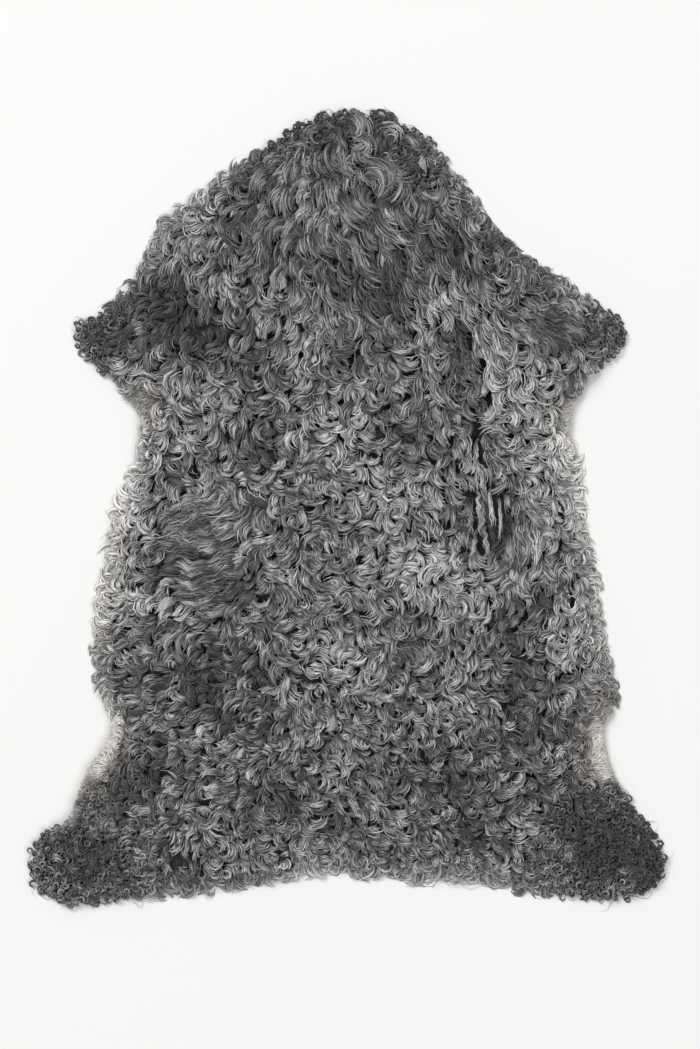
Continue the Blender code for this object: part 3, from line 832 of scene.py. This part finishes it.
# Darker and paler wool, changed one by one until the brightness that was measured in the blurred render came
# near to that of the blurred photo: place, x, y, reach in x and y, change of tone.
# Part of this is the wool's own tone; the darker places in hollows, valleys and partings are painted shade.
TONES_AND_PAINTED_SHADE = (
    ("spine", 0.010, -0.135, 0.045, 0.120, 0.10),
    ("left hind leg", -0.310, -0.410, 0.060, 0.045, -0.08),
    ("end of the right hind leg", 0.390, -0.440, 0.030, 0.050, -0.14),
    ("right ham", 0.287, -0.360, 0.040, 0.035, -0.18),
    ("inner left shoulder", -0.080, 0.205, 0.045, 0.035, -0.09),
    ("crest", -0.027, 0.468, 0.052, 0.025, -0.16),
    ("right of the crest", 0.069, 0.468, 0.030, 0.027, -0.08),
    ("nape", -0.020, 0.396, 0.082, 0.060, -0.06),
    ("pale nape", -0.006, 0.389, 0.025, 0.012, 0.12),
    ("right of the neck", 0.123, 0.344, 0.027, 0.042, -0.24),
    ("below the right of the neck", 0.080, 0.334, 0.027, 0.027, -0.05),
    ("left edge of the neck", -0.175, 0.386, 0.030, 0.020, 0.20),
    ("left shoulder", -0.160, 0.305, 0.024, 0.028, 0.10),
    ("left shoulder rim", -0.241, 0.349, 0.025, 0.025, 0.04),
    ("front of the shoulder hollow", -0.219, 0.272, 0.027, 0.025, -0.42),
    ("shoulder hollow", -0.199, 0.233, 0.042, 0.020, -0.38),
    ("back of the shoulder hollow", -0.167, 0.220, 0.020, 0.025, -0.26),
    ("left fore leg", -0.296, 0.213, 0.035, 0.022, -0.22),
    ("left of the fore leg's root", -0.266, 0.245, 0.020, 0.015, -0.34),
    ("under the left fore leg", -0.271, 0.178, 0.032, 0.017, 0.12),
    ("between the shoulders", -0.080, 0.223, 0.032, 0.032, 0.14),
    ("left withers", -0.132, 0.282, 0.027, 0.022, 0.10),
    ("withers", 0.044, 0.265, 0.025, 0.032, -0.20),
    ("middle of the withers", -0.014, 0.299, 0.025, 0.012, -0.10),
    ("right withers", 0.126, 0.276, 0.028, 0.032, 0.20),
    ("right shoulder", 0.190, 0.240, 0.030, 0.025, 0.06),
    ("outer right shoulder", 0.234, 0.237, 0.027, 0.017, -0.14),
    ("right fore leg", 0.302, 0.229, 0.037, 0.025, -0.04),
    ("behind the right shoulder", 0.140, 0.212, 0.018, 0.030, -0.28),
    ("above the right elbow", 0.236, 0.150, 0.035, 0.032, 0.18),
    ("right elbow rim", 0.250, 0.088, 0.032, 0.040, 0.46),
    ("right flank edge", 0.292, 0.030, 0.022, 0.074, 0.42),
    ("slit", 0.166, 0.086, 0.011, 0.022, -0.30),
    ("parting", 0.176, -0.002, 0.026, 0.045, -0.24),
    ("left elbow", -0.240, 0.136, 0.022, 0.037, 0.32),
    ("left flank edge", -0.272, 0.025, 0.028, 0.066, 0.36),
    ("lower left flank edge", -0.301, -0.090, 0.020, 0.070, 0.46),
    ("left haunch edge", -0.301, -0.236, 0.015, 0.050, 0.26),
    ("left flank", -0.160, 0.145, 0.030, 0.042, 0.14),
    ("beside the left flank", -0.113, 0.086, 0.017, 0.020, -0.26),
    ("middle of the back", -0.014, 0.101, 0.030, 0.035, 0.30),
    ("right of the spine", 0.069, 0.111, 0.027, 0.017, -0.16),
    ("lower back", 0.050, 0.028, 0.055, 0.032, 0.34),
    ("right loin", 0.095, -0.066, 0.042, 0.034, 0.36),
    ("left of the loin", -0.068, -0.069, 0.027, 0.022, 0.18),
    ("left flank's middle", -0.157, 0.035, 0.024, 0.026, 0.12),
    ("upper valley", -0.124, -0.088, 0.020, 0.028, -0.14),
    ("lower valley", -0.174, -0.211, 0.032, 0.037, -0.28),
    ("valley's foot", -0.142, -0.256, 0.020, 0.015, -0.26),
    ("left haunch", -0.244, -0.180, 0.030, 0.030, -0.06),
    ("right valley", 0.205, -0.180, 0.022, 0.062, -0.20),
    ("head of the right valley", 0.240, -0.112, 0.022, 0.022, -0.18),
    ("right flank", 0.290, -0.137, 0.030, 0.050, 0.24),
    ("loin spot", 0.004, -0.122, 0.030, 0.017, -0.12),
    ("loin", -0.020, -0.193, 0.050, 0.032, 0.10),
    ("rump", -0.002, -0.323, 0.223, 0.037, -0.09),
    ("middle of the rump", -0.008, -0.311, 0.032, 0.030, 0.13),
    ("left ham", -0.280, -0.352, 0.030, 0.030, -0.34),
    ("left rump", -0.155, -0.311, 0.026, 0.020, 0.15),
    ("right rump", 0.135, -0.348, 0.017, 0.062, -0.14),
    ("tail", -0.033, -0.442, 0.062, 0.017, 0.20),
    ("right of the tail", 0.130, -0.460, 0.060, 0.018, 0.24),
    ("left hind leg", -0.328, -0.437, 0.050, 0.042, -0.28),
    ("left hind leg's inside", -0.200, -0.437, 0.015, 0.015, -0.20),
    ("right hind leg", 0.321, -0.416, 0.057, 0.050, -0.42),
    ("right ham", 0.150, -0.410, 0.040, 0.022, -0.16),
    ("left of the crest", -0.055, 0.482, 0.030, 0.022, -0.54),
    ("middle of the crest", 0.036, 0.481, 0.034, 0.020, -0.38),
    ("left edge of the nape", -0.107, 0.433, 0.028, 0.025, -0.24),
    ("right edge of the nape", 0.080, 0.432, 0.028, 0.025, -0.27),
    ("left of the neck", -0.126, 0.381, 0.050, 0.025, -0.17),
    ("neck's right half", 0.066, 0.384, 0.035, 0.020, -0.13),
    ("left under the neck", -0.107, 0.334, 0.025, 0.020, -0.16),
    ("middle under the neck", -0.008, 0.332, 0.025, 0.020, -0.15),
    ("edge right of the neck", 0.193, 0.332, 0.025, 0.025, -0.24),
    ("front of the left shoulder", -0.206, 0.282, 0.022, 0.022, -0.20),
    ("front of the right shoulder", 0.240, 0.282, 0.030, 0.022, -0.18),
    ("spine at the withers", 0.042, 0.285, 0.020, 0.022, -0.25),
    ("left fore leg's end", -0.306, 0.233, 0.025, 0.020, -0.20),
    ("under the left fore leg's end", -0.303, 0.183, 0.022, 0.018, -0.24),
    ("beside the shoulder hollow", -0.151, 0.233, 0.022, 0.020, -0.12),
    ("right fore leg's end", 0.329, 0.235, 0.030, 0.022, -0.18),
    ("below the left withers", -0.058, 0.196, 0.022, 0.035, 0.22),
    ("right of the spine's top", 0.091, 0.185, 0.020, 0.018, 0.13),
    ("behind the right shoulder blade", 0.190, 0.155, 0.022, 0.060, 0.30),
    ("beside the slit", 0.141, 0.086, 0.016, 0.022, 0.16),
    ("right of the parting", 0.240, 0.000, 0.024, 0.035, 0.26),
    ("right flank's middle", 0.290, 0.006, 0.016, 0.035, 0.12),
    ("left flank field's edge", -0.200, -0.063, 0.018, 0.022, -0.16),
    ("lower left flank", -0.235, -0.112, 0.036, 0.022, 0.26),
    ("below the parting", 0.145, -0.092, 0.038, 0.038, 0.24),
    ("left haunch", -0.306, -0.193, 0.020, 0.040, -0.18),
    ("left loin", -0.107, -0.211, 0.020, 0.020, -0.18),
    ("left of the lower loin", -0.058, -0.212, 0.020, 0.018, 0.26),
    ("right valley's outer side", 0.265, -0.162, 0.030, 0.020, 0.15),
    ("right loin", 0.141, -0.211, 0.018, 0.050, 0.12),
    ("right haunch", 0.232, -0.270, 0.030, 0.028, -0.22),
    ("root of the left thigh", -0.244, -0.313, 0.025, 0.018, -0.18),
    ("left of the rump", -0.082, -0.363, 0.035, 0.018, -0.13),
    ("right hind leg's end", 0.391, -0.435, 0.020, 0.040, -0.42),
)
# Partings and undercuts, where one sees down to the roots. The coat lies lower there, and its tone is painted
# darker as painted shade: place, x and y of the ends, reach, strength.
PARTINGS = (
    ("under the nape", -0.030, 0.411, 0.024, 0.415, 0.006, 0.8),
    ("under the swirl", 0.032, 0.388, 0.049, 0.386, 0.005, 1.0),
    ("left neck", -0.035, 0.446, -0.020, 0.421, 0.005, 0.6),
    ("across the withers", -0.068, 0.314, 0.066, 0.327, 0.008, 0.6),
    ("left of the withers", -0.020, 0.299, -0.002, 0.290, 0.006, 0.7),
    ("right of the neck", 0.138, 0.389, 0.143, 0.307, 0.009, 0.4),
    ("slit", 0.158, 0.104, 0.168, 0.056, 0.006, 1.4),
    ("parting", 0.161, 0.018, 0.167, -0.042, 0.010, 1.2),
    ("second parting", 0.183, 0.018, 0.187, -0.026, 0.010, 1.2),
    ("behind the right shoulder", 0.163, 0.223, 0.161, 0.111, 0.007, 0.3),
    ("left shoulder", -0.244, 0.270, -0.164, 0.223, 0.012, 0.6),
    ("inside the left flank", -0.112, -0.033, -0.132, -0.112, 0.010, 0.4),
    ("lower left flank", -0.219, -0.177, -0.142, -0.256, 0.012, 0.4),
    ("along the right valley", 0.215, -0.112, 0.200, -0.256, 0.010, 0.4),
    ("across the loin", -0.120, -0.192, -0.014, -0.226, 0.009, 0.6),
    ("above the left ham", -0.120, -0.340, -0.051, -0.368, 0.007, 0.5),
    ("left ham", -0.281, -0.360, -0.206, -0.323, 0.006, 0.5),
    ("beside the spine", 0.069, 0.131, 0.084, 0.086, 0.007, 0.5),
    ("right rump", 0.116, -0.306, 0.143, -0.385, 0.009, 0.3),
    ("left hind leg", -0.224, -0.425, -0.199, -0.442, 0.006, 0.9),
)
BANDS = ("neck", "back", "rump")
TUFT_DEPTH = 0.20  # of its width
COAT_STREAK = 0.0014  # across one bundle of fibres
OPEN = 1.4  # how covered a parting counts from the start, so that it stays open
WAVE = 0.024  # from crest to crest where the wool lies in waves
CELL = 0.004  # of the map that counts how deep the locks already lie
COVER_X, COVER_Y = 0.44, 0.54  # half that map's width and length


def cloudy(points, size, layer):
    """Smooth noise from about -1 to 1, in patches of about that size."""
    return np.array([noise.noise((x / size, y / size, layer)) for x, y in points]) * 1.7


def round_share(table, points, inner, outer):
    """The largest share that any round place in a table of x, y and reach has at each point."""
    share = np.zeros(len(points))
    for _, x, y, *reach in table:
        far = np.hypot((points[:, 0] - x) / reach[0], (points[:, 1] - y) / reach[-1])
        share = np.maximum(share, 1 - smooth(inner, outer, far))
    return share


def parted(points):
    """How near a parting each point is, times the parting's strength."""
    share = np.zeros(len(points))
    for _, x1, y1, x2, y2, reach, strength in PARTINGS:
        start, along = np.array([x1, y1]), np.array([x2 - x1, y2 - y1])
        t = np.clip(((points - start) @ along) / (along @ along), 0, 1)
        far = ((points - start - t[:, None] * along) ** 2).sum(axis=1)
        share = np.maximum(share, strength * np.exp(-far / reach**2))
    return share


def toned(points):
    """Tone of the wool at each point, partly painted shade, and how much higher or lower the coat lies there.
    """
    places, partings = summed(TONES_AND_PAINTED_SHADE, points), parted(points)
    # Painted shade: the partings are painted darker, where one sees down into the shadow among the roots.
    tone = 0.495 + 1.42 * places - 0.28 * partings + 0.08 * cloudy(points, 0.036, 4.1)
    return tone, 0.006 * np.clip(places, -0.4, 0.3) - 0.0050 * partings


def lie(points):
    """Heading of the tips and how evenly they lie, from the places in the table."""
    total = np.zeros((len(points), 2))
    total[:, 1] = -0.12
    even, weights = np.full(len(points), 0.12 * 0.3), np.full(len(points), 0.12)
    for _, x, y, reach, heading, evenness in LIES:
        weight = np.exp(-((points[:, 0] - x) ** 2 + (points[:, 1] - y) ** 2) / reach**2)
        total += weight[:, None] * np.array([math.cos(heading * DEGREE), math.sin(heading * DEGREE)])
        even += weight * evenness
        weights += weight
    return np.arctan2(total[:, 1], total[:, 0]), even / weights


cover_x = np.arange(-COVER_X, COVER_X, CELL) + CELL / 2
cover_y = np.arange(-COVER_Y, COVER_Y, CELL) + CELL / 2
cover_spots = np.stack(np.meshgrid(cover_x, cover_y), axis=2).reshape(-1, 2)
cover = OPEN * parted(cover_spots).reshape(len(cover_y), len(cover_x))


def thinned(locks, most, batch=80):
    """Plants the locks a few at a time, only where the coat is still thin. Those on top are painted palest,
    as painted light and shade.
    """
    number = len(locks["heading"])
    path, angle = path_points(locks, 5)
    side = np.stack([-np.sin(angle), np.cos(angle)], axis=2) * (locks["width"] / 3)[:, None, None]
    spots = np.concatenate([path - side, path, path + side], axis=1)
    column = np.clip(((spots[..., 0] + COVER_X) / CELL).astype(int), 0, cover.shape[1] - 1)
    row = np.clip(((spots[..., 1] + COVER_Y) / CELL).astype(int), 0, cover.shape[0] - 1)
    weight = locks["length"] * locks["width"] / spots.shape[1] / CELL**2
    keep, depth = np.zeros(number, bool), np.zeros(number)
    for part in np.array_split(np.arange(number), max(1, number // batch)):
        depth[part] = cover[row[part], column[part]].mean(axis=1)
        chosen = part[depth[part] < most]
        keep[chosen] = True
        np.add.at(cover, (row[chosen], column[chosen]), weight[chosen][:, None])
    locks = {name: values[keep] for name, values in locks.items()}
    locks["level"] = locks["level"] + 0.0009 * depth[keep]
    # Painted light and shade: locks that lie higher on the coat are painted paler, those lower down darker.
    locks["tone"] = locks["tone"] + 0.10 * (depth[keep] - 0.5 * most)
    return locks


def thrown(number, low, high=1.0):
    """Random x, y that lie from low to high inside the pelt's edge, and outside it where low is negative."""
    near = (edge_map > low - GRID) & (edge_map < high + GRID)
    corners = grid_points[near.ravel()]
    points = corners[rng.integers(0, len(corners), number)] + rng.uniform(-0.5, 0.5, (number, 2)) * GRID
    edge = sample(edge_map, points)
    return points[(edge > low) & (edge < high)]


places = thrown(60000, 0.002)
ringlet = round_share(RINGLET_ENDS, places, 0.6, 1.1)
places = places[rng.uniform(0, 1, len(places)) < (1 - 0.8 * ringlet) * fullness(places) ** 2]
number = len(places)
finger, combed, silk = (round_share(table, places, 0.55, 1.15) for table in (FINGERS, COMBED, SILKY))
heading, even = lie(places)
tone, lift = toned(places)
# The curls are smaller towards the tail and at the rim, and larger where the wool was combed out.
size = 1 - 0.12 * smooth(0.16, 0.08, places[:, 1]) - 0.16 * smooth(-0.16, -0.30, places[:, 1])
size = (size - 0.16 * smooth(0.05, 0.0, sample(edge_map, places))) * (1 + 0.5 * combed + 0.15 * silk)
# Each tuft hooks round to the left or to the right, like most of its neighbours, or lies in waves.
leaning = cloudy(places, 0.045, 6.2) + 2.0 * np.maximum(finger, silk) + rng.normal(0, 0.5, number)
hand = np.where(leaning > 0, 1.0, -1.0)
wavy = np.maximum(combed, (rng.uniform(0, 1, number) > 0.85) * (1 - finger))
turn = hand * rng.uniform(1.3, 2.8, number) * (1 - 0.65 * wavy) * (1 - 0.25 * finger - 0.3 * silk)
length = rng.uniform(0.022, 0.033, number) * size * (1 + 0.3 * finger)
along_lie = places[:, 0] * np.cos(heading) + places[:, 1] * np.sin(heading)
shade = tone + rng.normal(0, 0.12, number)
tufts = {
    "place": places,
    "heading": (
        heading
        - 0.35 * turn
        + rng.normal(0, 1.0, number) * (1.15 - even) * (1 - 0.7 * np.maximum(combed, finger))
    ),
    "turn": turn,
    "tighten": rng.uniform(0.8, 1.3, number),
    "sway": rng.uniform(0.05, 0.20, number) + 0.3 * wavy,
    "waves": length / WAVE,
    "phase": along_lie / WAVE + rng.normal(0, 0.06, number),
    "length": length,
    "width": rng.uniform(0.010, 0.017, number) * size * (1 - 0.4 * finger),
    "rise": rng.uniform(0.0028, 0.0048, number) * size * (1 - 0.5 * combed),
    "tuck": rng.uniform(0.0, 0.0015, number),
    "level": lift + rng.normal(0, 0.0018, number),
    "tone": np.minimum(shade, 0.60 + (0.45 + summed(CREAM, places)) * (shade - 0.60)),
    "streaks": np.ones(number),
    "seed": rng.uniform(0, 1, number),
    "silk": np.maximum(combed, silk),
}
# Broad tufts are planted first, and narrow ones over them.
order = np.argsort(-tufts["width"] * rng.uniform(0.6, 1.4, number))
order = order[fullness(path_points(tufts, 3)[0][order, -1]) > 0.4]
tufts = thinned({name: values[order] for name, values in tufts.items()}, most=0.97)
silky = tufts.pop("silk") > 0.5
locks = strands_of(tufts, 2, (0.52, 0.66), 1.0, TUFT_DEPTH)
locks["width"] *= np.repeat(tufts["width"], 2)
locks["streaks"] = locks["width"] / COAT_STREAK
# Painted shade: the ribbons under the strands are painted darker, so that they read as the shadow between
# them.
locks["tone"] -= 0.10
locks["level"] -= 0.0006
lock_roots = settled(locks, 5, reach_out=0.010)
# Painted light: the strands over the ribbons are painted paler.
tufts["tone"] += 0.04
strands = strands_of(tufts, 6, (0.0013, 0.0021), 1.1, TUFT_DEPTH)
strand_roots = settled(strands, 5, reach_out=0.010)
silk = {name: values[silky] for name, values in tufts.items()}
strands = strands_of(silk, 7, (0.0009, 0.0014), 1.1, TUFT_DEPTH)
silk_roots = settled(strands, 6, reach_out=0.010)
grow_pieces("curl_locks", lock_roots, along=5, depth=LOCK_DEPTH, frizz=0.04, seed=3, bands=BANDS)
grow_pieces("curl_strands", strand_roots, along=5, depth=0.35, frizz=0.05, seed=4, bands=BANDS)
grow_pieces("combed_strands", silk_roots, along=6, depth=0.5, frizz=0.05, seed=4)

# ---- Ringlets --------------------------------------------------------------------------------------------
# The youngest wool, at the ends of the legs and on the crest: tight small rings of one fine lock each, which
# stand close together and hang out a little over the cut edge.


def random_roots(
    places, heading, turn, tighten, sway, length, width, rise, tuck, uneven, tone, mottle=0.07, streaks=1.0
):
    """Roots at these places, each with values of its own: pairs are ranges, uneven and mottle are spreads."""
    number = len(places)
    return {
        "place": places,
        "heading": heading,
        "turn": turn,
        "tighten": rng.uniform(*tighten, number),
        "sway": rng.uniform(0.0, sway, number),
        "waves": rng.uniform(0.8, 1.6, number),
        "phase": rng.uniform(0, 1, number),
        "length": rng.uniform(*length, number),
        "width": rng.uniform(*width, number),
        "rise": rng.uniform(*rise, number),
        "tuck": rng.uniform(0.0, tuck, number) if tuck else np.zeros(number),
        "level": rng.normal(0, uneven, number) if uneven else np.zeros(number),
        "tone": tone + rng.normal(0, mottle, number),
        "streaks": np.full(number, streaks),
        "seed": rng.uniform(0, 1, number),
    }


places = thrown(44000, -0.011)
ringlet = round_share(RINGLET_ENDS, places, 0.6, 1.1)
places = places[rng.uniform(0, 1, len(places)) < ringlet * fullness(places) ** 2]
number = len(places)
hand = np.where(rng.uniform(0, 1, number) > 0.5, 1.0, -1.0)
size = rng.uniform(0.65, 1.2, number)
locks = random_roots(
    places,
    heading=rng.uniform(-math.pi, math.pi, number),
    turn=hand * rng.uniform(4.0, 7.5, number),
    tighten=(0.8, 1.5),
    sway=0.3,
    length=(0.014, 0.022),
    width=(0.0026, 0.0038),
    rise=(0.0020, 0.0045),
    tuck=0.0030,
    uneven=0.0012,
    tone=toned(places)[0] - 0.04,
    streaks=2.2,
)
locks["length"] *= size
locks["width"] *= size
locks = thinned(locks, most=2.35)
ringlet_roots = settled(locks, 7, reach_out=0.018)
grow_pieces("ringlet_locks", ringlet_roots, along=7, depth=0.6, frizz=0.12, seed=5)

# ---- Rim -------------------------------------------------------------------------------------------------
# The locks that grow at the skin's cut edge. They hang out over it and down to the floor, each with two finer
# strands, and give the rug its curly outline.

slope_y, slope_x = np.gradient(edge_map)


def outward(points):
    """Direction from each point straight out to the pelt's edge."""
    return np.arctan2(-sample(slope_y, points), -sample(slope_x, points))


places = thrown(24000, -0.0005, 0.010)
places = places[rng.uniform(0, 1, len(places)) < fullness(places) ** 2]
number = len(places)
hand = np.where(cloudy(places, 0.030, 5.5) + rng.normal(0, 0.4, number) > 0, 1.0, -1.0)
ringlet = round_share(RINGLET_ENDS, places, 0.6, 1.1)
size = rng.uniform(0.70, 1.05, number) * (1 - 0.22 * ringlet)
locks = random_roots(
    places,
    heading=outward(places) - hand * rng.uniform(0.0, 1.0, number) + rng.normal(0, 0.3, number),
    turn=hand * rng.uniform(2.0, 4.4, number) * (1 + 0.8 * ringlet + 0.6 * summed(OVERHANG, places)),
    tighten=(0.9, 1.6),
    sway=0.5,
    length=(0.020, 0.034),
    width=(0.0040, 0.0060),
    rise=(0.0020, 0.0050),
    tuck=0.0020,
    uneven=0.0010,
    tone=toned(places)[0],
    streaks=3.0,
)
locks["length"] *= size
locks["length"] *= 1 + 0.8 * summed(OVERHANG, places)
locks["width"] *= size
locks = thinned(locks, most=1.7)
rim_roots = settled(locks, 6, reach_out=0.019)
rim_strands = settled(strands_of(locks, 2, (0.0008, 0.0014), 1.1), 5, reach_out=0.021)
grow_pieces("rim_locks", rim_roots, along=7, depth=0.5, frizz=0.10, seed=6)
grow_pieces("rim_strands", rim_strands, along=5, depth=0.6, frizz=0.12, seed=7)

# ---- Flyaways --------------------------------------------------------------------------------------------
# Wisps of a few fibres, half a millimetre thick at most, that wear has pulled loose from the locks. They
# stand out past the rim as a thin halo, most of them on the bleached flanks.

places = thrown(13000, -0.001, 0.004)
places = places[rng.uniform(0, 1, len(places)) < 0.12 + summed(CREAM, places)]
number = len(places)
fibres = random_roots(
    places,
    heading=outward(places) + rng.normal(0, 0.6, number),
    turn=rng.choice((-1.0, 1.0), number) * rng.uniform(1.5, 4.5, number),
    tighten=(0.8, 1.6),
    sway=0.6,
    length=(0.014, 0.030),
    width=(0.0003, 0.0006),
    rise=(0.0, 0.0050),
    tuck=0.0,
    uneven=0.0,
    tone=toned(places)[0] + 0.05,
)
fibres["length"] *= 0.3 + 0.7 * fullness(places)
fibres["length"] *= 1 + 0.8 * summed(OVERHANG, places)
fibres["length"] *= 1 + 0.5 * summed(CREAM, places)
fuzz_roots = settled(fibres, 4, reach_out=0.026)
grow_pieces("flyaways", fuzz_roots, along=5, depth=0.7, frizz=0.2, seed=7)

# ---- Short hair in the pits ------------------------------------------------------------------------------
# Straight short hair, one to two centimetres long, that covers the skin behind the legs where no wool grows.
# It lies flat and points out to the cut edge.

HAIRS = 2200

places = thrown(160000, 0.0008, 0.030)
bareness = 1 - fullness(places)
places = places[rng.uniform(0, 1, len(places)) < smooth(0.05, 0.6, bareness)]
places = places[:HAIRS]
number = len(places)
pits = np.array([pit[1:] for pit in BARE_PITS])
nearest_pit = np.hypot(places[:, :1] - pits[:, 0], places[:, 1:] - pits[:, 1]).argmin(axis=1)
hair = random_roots(
    places,
    heading=outward(places) + 0.5 * cloudy(places, 0.02, 3.3) + rng.normal(0, 0.35, number),
    turn=rng.normal(0, 0.5, number),
    tighten=(0.8, 1.6),
    sway=0.2,
    length=(0.009, 0.018),
    width=(0.0006, 0.0011),
    rise=(0.0, 0.0012),
    tuck=0.0,
    uneven=0.0,
    tone=pits[nearest_pit, -1],
    mottle=0.10,
)
hair["level"] += ROOT_SINK  # it grows on the skin's surface
hair_roots = settled(hair, 3, reach_out=0.020)
grow_pieces("pit_hair", hair_roots, along=3, depth=0.7, frizz=0.1, seed=8)
